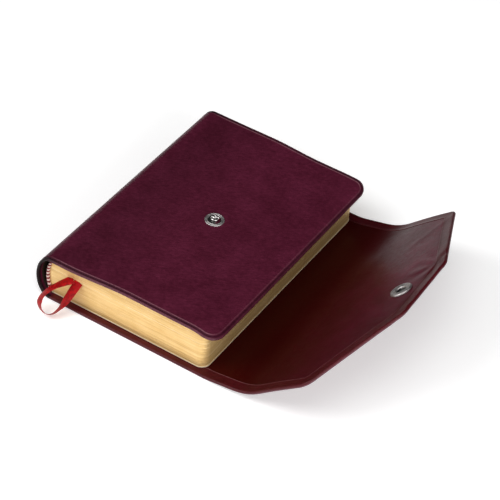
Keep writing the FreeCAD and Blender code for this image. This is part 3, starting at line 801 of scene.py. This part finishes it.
# How much less the leather is rubbed and lit by painted highlight lines at the head, and how dark the
# painted shade is at the back joint beside the spine.
HEAD_LESS_RUB_AND_HIGHLIGHT = 0.8
JOINT_PAINTED_SHADE = 0.7
# How far the flap waves.
FLAP_WAVE = 0.35
# The raised bead at the hem's inner edge.
HEM_BEAD = 0.12
# The gathers at the end's corners: place across and depth, number in a radian, and ring.
CORNER_GATHERS = ((END_HALF, 0.26), (-END_HALF, 0.13))
GATHER_RATE = 7
GATHER_RING = (9, 6.5)
# Depth, distance along the flap and width of the slanting crease on its head side.
CREASE_DEPTH = 0.2
CREASE_REACH = 66
CREASE_WIDTH = 2.2
FOLD_REACH = 23.11
FOLD_HALF = 10.65
# Radii of the flap's corners at its tail and head sides, and of the two at its end.
FLAP_CORNERS = ((-1, 8), (1, 4))
END_CORNER = 8
ROOT_ANGLE = 10.98
ROOT_TWIST = 3.08
TONGUE_ANGLE = 43.2
TONGUE_TWIST = 1.3
END_RELAX = 5.45


def flap_slope(u, y):
    """The slope of the flap, in degrees, at a distance along it."""
    reach = u - ROOT_X
    across = y / HALF_HEIGHT
    root = ROOT_ANGLE + ROOT_TWIST * across
    tongue = TONGUE_ANGLE + TONGUE_TWIST * across
    lifted = root * smooth(reach, -4.5, 4.5)
    folded = (tongue - root) * smooth(reach, FOLD_REACH - FOLD_HALF, FOLD_REACH + FOLD_HALF)
    return lifted + folded - END_RELAX * np.clip((reach - FOLD_REACH) / 60, 0, 1)


def pucker(u, y):
    """Small gathers at the corners of the flap's end, and a crease."""
    total = 0
    for across, depth in CORNER_GATHERS:
        along = u - (ROOT_X + FLAP_REACH - HEM)
        aside = y - across
        reach = np.hypot(along, aside)
        turn = np.arctan2(aside, along)
        gather = np.sin(GATHER_RATE * turn + 0.9 + 0.05 * reach) * bump(reach, *GATHER_RING)
        total = total + depth * gather * smooth(reach, 1, 6)
    slanted = u - ROOT_X - 0.5 * (y - HALF_HEIGHT)
    crease = CREASE_DEPTH * bump(slanted, CREASE_REACH, CREASE_WIDTH)
    return total + crease * smooth(y, 30, 52) * (1 - smooth(y, 62, HALF_HEIGHT))


def flap_surface(plan, height):
    """Points at a height over the outer face of the back cover and flap."""
    u, y = plan[..., 0], plan[..., 1]
    out = np.empty(u.shape + (3,))
    reach = np.linspace(JOINT_X, ROOT_X + FLAP_REACH + 1, 900)
    step = np.diff(reach, prepend=reach[0])
    columns = np.round(y, 3)
    for value in np.unique(columns):
        chosen = columns == value
        slope = np.radians(flap_slope(reach, value))
        x = JOINT_X + np.cumsum(np.cos(slope) * step)
        z = FLAP_THICKNESS / 2 + np.cumsum(np.sin(slope) * step)
        angle = np.interp(u[chosen], reach, slope)
        lift = height[chosen] - FLAP_THICKNESS / 2
        out[chosen, 0] = np.interp(u[chosen], reach, x) - np.sin(angle) * lift
        out[chosen, 1] = value
        out[chosen, 2] = np.interp(u[chosen], reach, z) + np.cos(angle) * lift
    wave = FLAP_WAVE * noise_field(u / 24, y / 24, 7) * smooth(u, ROOT_X + 4, ROOT_X + 20)
    out[..., 2] += wave + pucker(u, y)
    return out


SLANT = (FLAP_REACH - SIDE_REACH) / (HALF_HEIGHT - END_HALF)
SLANT_SINE = 1 / math.hypot(1, SLANT)


def flap_limit(y, inset):
    """How far along the flap its end is, moved in by an inset."""
    slanted = SIDE_REACH + (HALF_HEIGHT - np.abs(y)) * SLANT
    return ROOT_X + np.minimum(slanted - inset / SLANT_SINE, FLAP_REACH - inset)


def flap_rim(u, y):
    """Distance in from the outline of the back cover and flap."""
    side = HALF_HEIGHT - np.abs(y)
    slanted = (ROOT_X + SIDE_REACH + side * SLANT - u) * SLANT_SINE
    return np.minimum(np.minimum(side, slanted), ROOT_X + FLAP_REACH - u)


def flap_round(plan, rim):
    """The flap's plan with its four corners rounded."""
    for sign, radius in FLAP_CORNERS:
        side = (ROOT_X + SIDE_REACH, sign * HALF_HEIGHT)
        end = (ROOT_X + FLAP_REACH, sign * END_HALF)
        plan = rounded(plan, rim, side, (-1, 0), (SLANT, -sign), radius)
        plan = rounded(plan, rim, end, (-SLANT, sign), (0, -sign), END_CORNER)
    return plan


def hem_lines(inset, step):
    """Grid lines across the flap, and distances in of those near its edges."""
    half = HALF_HEIGHT - inset
    edge_lines = [e - inset for e in HEM_EDGE if e >= inset]
    return lines(-half, half, step, edge_lines, edge_lines), edge_lines


def back_plan(inset, seam):
    """Grid over the back cover and the first half of the gusset."""
    u_lines = np.concatenate([
        lines(JOINT_X, ROOT_X - 6, 3, HEM_EDGE[:6])[:-1],
        lines(ROOT_X - 6, seam, 0.9)])
    return np.meshgrid(u_lines, hem_lines(inset, 2.4)[0], indexing="ij")


def tongue_plan(inset, seam):
    """Grid over the second half of the gusset and the tongue."""
    y_lines, edge_lines = hem_lines(inset, 1.9)
    inner = flap_limit(y_lines, HEM_EDGE[-1])
    share = np.linspace(0, 1, 46)[:, None]
    body = seam + share * (inner - seam)[None]
    border = [flap_limit(y_lines, inset + e) for e in edge_lines[:-1][::-1]]
    u = np.concatenate([body, np.array(border)])
    return u, np.broadcast_to(y_lines, u.shape).copy()


def turned_leather(name, u, y, rim, bend, *nodes):
    """The outer leather, its edge turned in as a hem on the upper side."""
    plan = flap_round(np.stack([u, y], axis=-1), rim)
    hem = 1 - smooth(rim, HEM - 0.12, HEM + 0.12)
    bead = HEM_BEAD * (bump(rim, HEM - 0.35, 0.3) - smooth(rim, 1, 3))
    hem_top = FLAP_THICKNESS + bead
    thickness = LEATHER + (hem_top - LEATHER) * hem
    edge = edge_round(rim, FLAP_THICKNESS)
    upper = flap_surface(plan, np.maximum(thickness - edge, edge))
    lower = flap_surface(plan, edge)
    marks = {
        "rim": rim,
        # Rubbing and painted highlight lines, weaker toward the head.
        "wear_and_highlight": 1 - HEAD_LESS_RUB_AND_HIGHLIGHT * smooth(y, -END_HALF - 4, -END_HALF + 4),
        # Painted shade at the back joint beside the spine.
        "painted_shade": JOINT_PAINTED_SHADE * (1 - smooth(u, JOINT_X, JOINT_X + 10)),
    }
    leather = shell(name, upper, lower, [COVER_LEATHER, HEM_LEATHER], marks)
    bend_across(leather, *bend)
    stand_for(leather, "cover_leather", *nodes)


def flap_lining(name, u, y, bend, *nodes):
    """The glossy leather lining, its edge tucked against the hem."""
    rim = flap_rim(u, y) - LINING_INSET
    plan = flap_round(np.stack([u, y], axis=-1), rim + LINING_INSET)
    on_flap = smooth(u, ROOT_X - 6, ROOT_X + 4)
    bottom = LINING_BED - BED_DROP * smooth(u, ROOT_X - 4, ROOT_X)
    step = LINING_STEP * (1 - HEAD_LOSS * smooth(y, END_HALF, HALF_HEIGHT - 8))
    top = FLAP_THICKNESS - step * on_flap
    edge = LINING_EASE * edge_round(rim, 1)
    upper = flap_surface(plan, top - edge)
    lower = flap_surface(plan, bottom)
    # Painted shade on the lining: dark by the root, in the book's shadow, fading toward the tongue, and
    # more of it stays at the tail.
    faded = TAIL_FADE + HEAD_FADE * smooth(y, -50, 20)
    painted_shade = 1 - smooth(u - ROOT_X, *FADE_REACH) * faded
    marks = {"rim": rim + INNER_RIM, "painted_shade": painted_shade}
    lining = shell(name, upper, lower, [LINING_LEATHER], marks)
    bend_across(lining, *bend)
    stand_for(lining, "lining_leather", *nodes)


def make_flap():
    seam = ROOT_X + SEAM_REACH
    root = ("back_cover", "gusset", FLAP_ROOT + ROOT_BEND)
    fold = ("gusset", "tongue", FLAP_FOLD + FOLD_BEND)
    u, y = back_plan(0, seam)
    rim = np.minimum(HALF_HEIGHT - np.abs(y), np.maximum(u - JOINT_X, 0))
    turned_leather("back_case_leather", u, y, rim, root, "back_cover_leather")
    u, y = back_plan(LINING_INSET, seam)
    flap_lining("back_pastedown", u, y, root, "back_cover_lining")
    u, y = tongue_plan(0, seam)
    turned_leather(
        "flap_leather", u, y, flap_rim(u, y), fold,
        "gusset_leather", "gusset_hem", "tongue_leather", "tongue_hem")
    u, y = tongue_plan(LINING_INSET, seam)
    flap_lining("flap_lining", u, y, fold, "gusset_lining", "tongue_lining")


make_flap()

# ---- pages

PAGE_CORNER = 5
BACK_RADIUS = 22
BACK_X = node_box("section_5")[0][0]
BLOCK_MIDDLE = (BLOCK_BOTTOM + BLOCK_TOP) / 2
LEAF_STEP = 0.27
LEAF_RIPPLE = 0.045
SECTION_SLACK = 0.055
# Distances from the spine of the lines where leaves can bend.
SPINE_LINES = (0, 0.8, 1.6, 2.4, 3.4, 4.6, 6, 8, 10, 13, 16)
# How far past its hinge the second point given to bend_across lies, for a bundle of leaves and for the
# flyleaf.
LEAF_BEND = 5
FLYLEAF_BEND = 3
# The sections numbered up to this lie above the ribbon and have hinges of their own.
TURNING_SECTIONS = 3
# The heights between which the ribbon lies in the pages.
RIBBON_GAP = (17.22, 17.37)


def back_curve(z):
    """The rounded back of the text block."""
    return BACK_X + BACK_RADIUS - np.sqrt(BACK_RADIUS**2 - (z - BLOCK_MIDDLE) ** 2)


def page_ring(z, grow):
    """One leaf's outline: tail side, fore corners, fore edge and head side."""
    fore = PAGE_FORE_X + grow
    half = PAGE_HALF + grow
    turn = np.radians(np.linspace(0, 90, 9))[1:]
    near_spine = back_curve(z) + np.array(SPINE_LINES)
    straight = np.linspace(near_spine[-1], PAGE_FORE_X - PAGE_CORNER, 28)[1:]
    x = np.concatenate([near_spine, straight, fore - PAGE_CORNER + PAGE_CORNER * np.sin(turn)])
    bend = PAGE_CORNER * (1 - np.cos(turn))
    y = half - np.concatenate([np.zeros(len(x) - len(turn)), bend])
    edge_y = np.linspace(-y[-1], y[-1], 26)[1:-1]
    tail = np.stack([x, -y], axis=1)
    edge = np.stack([np.full_like(edge_y, x[-1]), edge_y], axis=1)
    plan = np.concatenate([tail, edge, tail[::-1] * (1, -1)])
    return np.column_stack([plan, np.full(len(plan), z)]), len(x), len(edge_y)


def leaf_stack(name, low, high, proud, ripple, materials, step=LEAF_STEP):
    """A closed stack of leaves, its edges finely ridged."""
    count = max(2, int(round((high - low) / step)) + 1)
    draws = np.random.default_rng(int(low * 1000))
    rings = []
    for level in np.linspace(low, high, count):
        grow = proud + ripple * draws.uniform(-1, 1)
        ring, side, edge = page_ring(level, grow)
        sway = 2.2 * ripple * noise_field(ring[:, 0] / 30, ring[:, 1] / 30, level / 3)
        ring[:, 1] += sway * np.sign(ring[:, 1]) * (np.abs(ring[:, 1]) > PAGE_HALF - 1)
        rings.append(ring)
    size = len(rings[0])
    points = np.concatenate(rings)
    faces = tube_faces(count, size)
    slots = [0] * len(faces)
    for base, flip in ((0, True), ((count - 1) * size, False)):
        caps = [(j, j + 1, size - 2 - j, size - 1 - j) for j in range(side - 1)]
        caps.append(tuple(range(side - 1, side + edge + 1)))
        for cap in caps:
            face = [base + v for v in cap]
            faces.append(tuple(face[::-1] if flip else face))
            slots.append(1)
    return make_object(name, points, faces, materials, slots, sharp=60)


def turning_leaves(stack, body, joint, reach, slot, *nodes):
    """Leaves that stay sewn at the spine: bakes their placement and hides their CAD nodes."""
    bend_across(stack, "back_cover", body, hinge_place(joint) + [(0, 0, 0), (reach, 0, 0)])
    stand_for(stack, slot, *nodes)


def make_pages():
    """The sections, which fill their slack and most of the ribbon's slot."""
    for number in (4, 5, 6, 7, 8, 9, 3, 2, 1):
        name = f"section_{number}"
        low, high = node_box(name)
        low = RIBBON_GAP[1] if number == TURNING_SECTIONS else low[2] - SECTION_SLACK
        high = RIBBON_GAP[0] if number == TURNING_SECTIONS + 1 else high[2] + SECTION_SLACK
        stack = leaf_stack(f"pages_{number}", low, high, 0, LEAF_RIPPLE, [GILT, LEAF_PAPER])
        if number > TURNING_SECTIONS:
            settle(stack, "back_cover", "gilt_pages", name)
            continue
        nodes = [name, "section_folds"] if number == TURNING_SECTIONS else [name]
        turning_leaves(stack, name, f"{name}_turn", LEAF_BEND, "gilt_pages", *nodes)


def make_flyleaves():
    materials = [ENDPAPER, ENDPAPER]
    low, high = node_box("back_flyleaf")
    back = leaf_stack("back_endpaper", low[2] - 0.1, high[2] - 0.05, 0.25, 0.03, materials, 0.11)
    settle(back, "back_cover", "flyleaf_paper", "back_flyleaf")
    low, high = node_box("front_flyleaf")
    front = leaf_stack("front_endpaper", low[2], high[2] - 0.05, 0.1, 0.02, materials, 0.11)
    turning_leaves(
        front, "front_flyleaf", "flyleaf_turn", FLYLEAF_BEND, "flyleaf_paper", "front_flyleaf")


def make_ribbon_strip():
    """The ribbon's hidden length, flat between two sections."""
    low, high = node_box("ribbon_strip")
    middle = sum(RIBBON_GAP) / 2
    x, y = np.meshgrid(
        np.linspace(low[0], high[0], 7), np.linspace(low[1] - 0.2, high[1], 60), indexing="ij")
    half = 0.06 * (1 - np.linspace(-1, 1, 7)[:, None] ** 8) * np.ones_like(x)
    upper, lower = (np.stack([x, y, middle + side * half], axis=-1) for side in (1, -1))
    strip = shell("ribbon_strip_satin", upper, lower, [SATIN])
    settle(strip, "back_cover", "ribbon_satin", "ribbon_strip")


make_pages()
make_flyleaves()
make_ribbon_strip()

# ---- headbands

BAND_PITCH = 0.37
# Threads of one colour in a group, and rings of points for each thread.
BAND_GROUP = 3
THREAD_RINGS = 6
BAND_X = 0.75
BAND_Y = 0.72
# How much each thread stands out, and how far its turns lean.
BAND_BULGE = 0.16
BAND_LEAN = 0.16


def make_headband(name, node, sign):
    """Silk wound over a core in groups of cream and red threads."""
    low, high = node_box(node)
    span = high[2] - low[2]
    rings = int(span / BAND_PITCH) * THREAD_RINGS + 1
    around = np.radians(np.arange(0, 360, 18))
    points = []
    for i in range(rings):
        z = low[2] + span * i / (rings - 1)
        bulge = 1 + BAND_BULGE * abs(math.sin(math.pi * i / THREAD_RINGS))
        centre_x = float(back_curve(z)) + BAND_X * 0.75
        centre_y = sign * (PAGE_HALF + BAND_Y * 0.72)
        for angle in around:
            points.append((
                centre_x + BAND_X * bulge * math.cos(angle),
                centre_y + BAND_Y * bulge * math.sin(angle),
                z + BAND_LEAN * math.cos(angle)))
    size = len(around)
    faces = tube_faces(rings, size) + tube_ends(rings, size)
    group = size * THREAD_RINGS * BAND_GROUP
    slots = [i // group % 2 for i in range(size * (rings - 1))] + [0, 0]
    band = make_object(name, points, faces, [RED_SILK, CREAM_SILK], slots, sharp=70)
    settle(band, "back_cover", "band_silk", node)


make_headband("tail_headband", "tail_band", -1)
make_headband("head_headband", "head_band", 1)

# ---- snap

# Points round a turned piece.
LATHE_POINTS = 96


def lathe(name, profile, material, closed=False, reshape=None):
    """A turned piece from (radius, height) points, about its own Z axis."""
    count = LATHE_POINTS
    turn = np.radians(np.arange(count) * 360 / count)
    points = []
    rings = []
    for radius, height in profile:
        size = count if radius else 1
        rings.append(range(len(points), len(points) + size))
        points += [(radius * math.cos(a), radius * math.sin(a), height) for a in turn[:size]]
    if closed:
        rings.append(rings[0])
    faces = []
    for first, second in zip(rings, rings[1:]):
        for j in range(count):
            k = (j + 1) % count
            steps = ((first, j), (first, k), (second, k), (second, j))
            corners = [ring[step % len(ring)] for ring, step in steps]
            faces.append(tuple(dict.fromkeys(corners)))
    if reshape is not None:
        points = reshape(np.array(points))
    return make_object(name, points, faces, [material], sharp=50)


def move(thing, place, axis):
    """Turns a piece's Z to an axis, and moves it to a place."""
    turn = Vector((0, 0, 1)).rotation_difference(Vector(axis)).to_matrix().to_4x4()
    thing.data.transform(Matrix.Translation(Vector(place) * MM) @ turn)


def fit_metal(body, node, place, axis, *pieces):
    """Puts turned pieces of the snap in place."""
    for piece in pieces:
        move(piece, place, axis)
        settle(piece, body, "snap_nickel", node)


def quarter(points):
    """Cuts a cross into the top of the stud's post, leaving four lobes."""
    radius = np.hypot(points[:, 0], points[:, 1])
    angle = np.arctan2(points[:, 1], points[:, 0])
    slot = np.abs(np.sin(2 * (angle - 0.5)))
    depth = (1 - smooth(slot * np.maximum(radius, 0.3), 0.3, 0.75)) * (radius < 2.12)
    out = points.copy()
    out[:, 2] -= 0.55 * depth * smooth(points[:, 2], 0.9, 1.5)
    pull = 1 - 0.12 * depth * smooth(points[:, 2], 0.8, 1.4)
    out[:, :2] *= pull[:, None]
    return out


def make_stud():
    low, high = node_box("snap_stud")
    centre = (low + high) / 2
    rise = float(cover_bow(np.array([centre[0]]), np.array([0]))[0][0])
    base = (centre[0], 0, low[2] + rise)
    flange = [
        (3.4, -0.3), (4.85, -0.3), (5.05, -0.1), (5.1, 0.12), (5, 0.34), (4.75, 0.47), (4.5, 0.46),
        (4.36, 0.34), (4.22, 0.3), (4.06, 0.36), (3.86, 0.5), (3.66, 0.54), (3.5, 0.44), (3.4, 0.2)]
    dish = [(0, -0.25), (3.42, -0.25), (3.42, 0.2), (3.2, 0.06), (2.9, 0), (0, 0)]
    post = [
        (0, -0.05), (1.8, -0.05), (1.72, 0.25), (1.7, 0.5), (1.82, 0.75), (2.05, 0.95), (2.2, 1.15),
        (2.18, 1.38), (2.04, 1.58), (1.78, 1.73), (1.5, 1.81), (1.15, 1.83), (0.85, 1.76),
        (0.6, 1.55), (0.35, 1.3), (0, 1.2)]
    rivet = [
        (0, -1.93), (3.2, -1.93), (3.55, -1.9), (3.72, -1.82), (3.8, -1.7), (3.8, -1.3),
        (1.2, -1.3), (1.2, -0.05), (0, -0.05)]
    # The dish round the post is dark steel, painted shade in that groove.
    fit_metal(
        "front_cover", "snap_stud", base, (0, 0, 1),
        lathe("stud_plate", flange, DULL_NICKEL, closed=True),
        lathe("stud_dish", dish, PAINTED_SHADE_STEEL),
        lathe("stud_post", post, NICKEL, reshape=quarter))
    fit_metal("front_cover", "snap_rivet", base, (0, 0, 1), lathe("rivet_head", rivet, NICKEL))


def make_socket():
    plan = np.array([[ROOT_X + SOCKET_REACH, 0]])
    seat = flap_surface(plan, np.array([FLAP_THICKNESS - LINING_STEP]))[0]
    under = flap_surface(plan, np.array([0]))[0]
    axis = unit(seat - under)
    ring = [
        (5.85, 0), (5.9, 0.35), (5.75, 0.75), (5.4, 1), (5, 1.08), (4.6, 1), (4.3, 0.86),
        (4, 0.84), (3.7, 0.94), (3.4, 1), (3.1, 0.95), (2.85, 0.75), (2.65, 0.45), (2.6, 0.1),
        (2.6, -0.6), (3.6, -0.6), (4.8, -0.4)]
    well = [(0, -0.45), (2.62, -0.45), (2.62, 0.12), (2.3, 0.04), (0, 0.02)]
    cap = [
        (0, 0.35), (6.6, 0.3), (6.85, 0.05), (6.9, -0.25), (6.75, -0.55), (6.35, -0.82), (5.5, -1.02),
        (4.2, -1.16), (2.2, -1.24), (0, -1.26)]
    # The well at the foot of the bore is dark steel, painted shade in the hole.
    fit_metal(
        "tongue", "snap_socket", seat, axis,
        lathe("socket_ring", ring, DULL_NICKEL, closed=True), lathe("socket_well", well, PAINTED_SHADE_STEEL))
    fit_metal("tongue", "snap_cap", under, axis, lathe("cap_dome", cap, NICKEL))
    make_spring(seat, axis)


def make_spring(seat, axis):
    """The two bowed wires across the socket's bore."""
    wire, gap, reach, level = 0.25, 1.75, 3.2, 0.3
    around = np.radians(np.arange(0, 360, 30))
    along = np.linspace(-reach, reach, 21)
    points = []
    faces = []
    for sign in (-1, 1):
        rings = (len(along), len(around), len(points))
        faces += tube_faces(*rings) + tube_ends(*rings)
        for y in along:
            x = sign * gap * (1 + 0.2 * (y / reach) ** 2)
            points += [(x + wire * math.cos(a), y, level + wire * math.sin(a)) for a in around]
    # The wires are dark steel, painted shade in the socket's bore.
    spring = make_object("socket_wires", points, faces, [PAINTED_SHADE_STEEL])
    move(spring, seat, axis)
    settle(spring, "tongue", "spring_steel", "socket_spring")


make_stud()
make_socket()

# ---- CAD nodes that stay

KEPT_NODES = {
    "back_cover_board": BOARD, "spine_card": PAINTED_SHADE_KRAFT, "sewing_tapes": MUSLIN,
    "kettle_stitches": LINEN, "spine_cloth": MUSLIN, "hollow_tube": PAINTED_SHADE_KRAFT}

for kept, kept_look in KEPT_NODES.items():
    frame["nodes"][kept].data.materials.clear()
    frame["nodes"][kept].data.materials.append(kept_look)

# ---- floor and lights

FLOOR_GLOW = 0.3
FLOOR_HALF = 6000
STUDIO_STRENGTH = 0.42
DRAPE_WAY = (-0.35, 0.66, 0.66)
# The drape starts and is darkest where the view's share along its way is this.
DRAPE_SHARES = (0.35, 0.8)
DRAPE_STRENGTH = 0.02


def make_floor():
    """A pale light table: white, with a faint glow of its own."""
    look = Look(
        "floor_white", Roughness=0.9, Specular_IOR_Level=0.1,
        Emission_Strength=FLOOR_GLOW, Emission_Color=(1, 1, 1))
    cloud = look.noise(400, detail=1)
    look.finish(look.ramp(cloud, (0.3, (0.86, 0.86, 0.86)), (0.7, (0.88, 0.88, 0.88))))
    points = [(x * FLOOR_HALF, y * FLOOR_HALF, 0) for x, y in ((-1, -1), (1, -1), (1, 1), (-1, 1))]
    floor = make_object("floor", points, [(0, 1, 2, 3)], [look.material])


def area_light(name, place, aim, size, power):
    data = bpy.data.lights.new(name, "AREA")
    data.shape = "DISK"
    data.size = size * MM
    data.energy = power
    light = add_object(name, data)
    light.location = Vector(place) * MM
    light.rotation_euler = (Vector(place) - Vector(aim)).to_track_quat("Z", "Y").to_euler()


def make_world():
    """An even pale studio, but for a dark drape in one direction."""
    world = bpy.data.worlds.new("studio")
    world.use_nodes = True
    nodes = world.node_tree.nodes
    place = nodes.new("ShaderNodeTexCoord").outputs["Generated"]
    facing = set_up(nodes.new("ShaderNodeVectorMath"), operation="DOT_PRODUCT")
    feed(facing.inputs[0], place)
    feed(facing.inputs[1], Vector(DRAPE_WAY).normalized())
    start, darkest = DRAPE_SHARES
    drape = set_up(
        nodes.new("ShaderNodeMapRange"), Value=facing.outputs["Value"],
        From_Min=start, From_Max=darkest, To_Min=STUDIO_STRENGTH, To_Max=DRAPE_STRENGTH)
    set_up(nodes["Background"], Color=(1, 1, 1), Strength=drape.outputs["Result"])
    bpy.context.scene.world = world


make_floor()
make_world()
area_light("key", place=(-750, -700, 950), aim=(20, 0, 0), size=850, power=9.5)
area_light("top", place=(60, -380, 1450), aim=(20, 0, 0), size=1200, power=7)
area_light("side", place=(1000, -500, 420), aim=(60, -20, 0), size=800, power=9)
bpy.context.scene.view_settings.view_transform = "Standard"
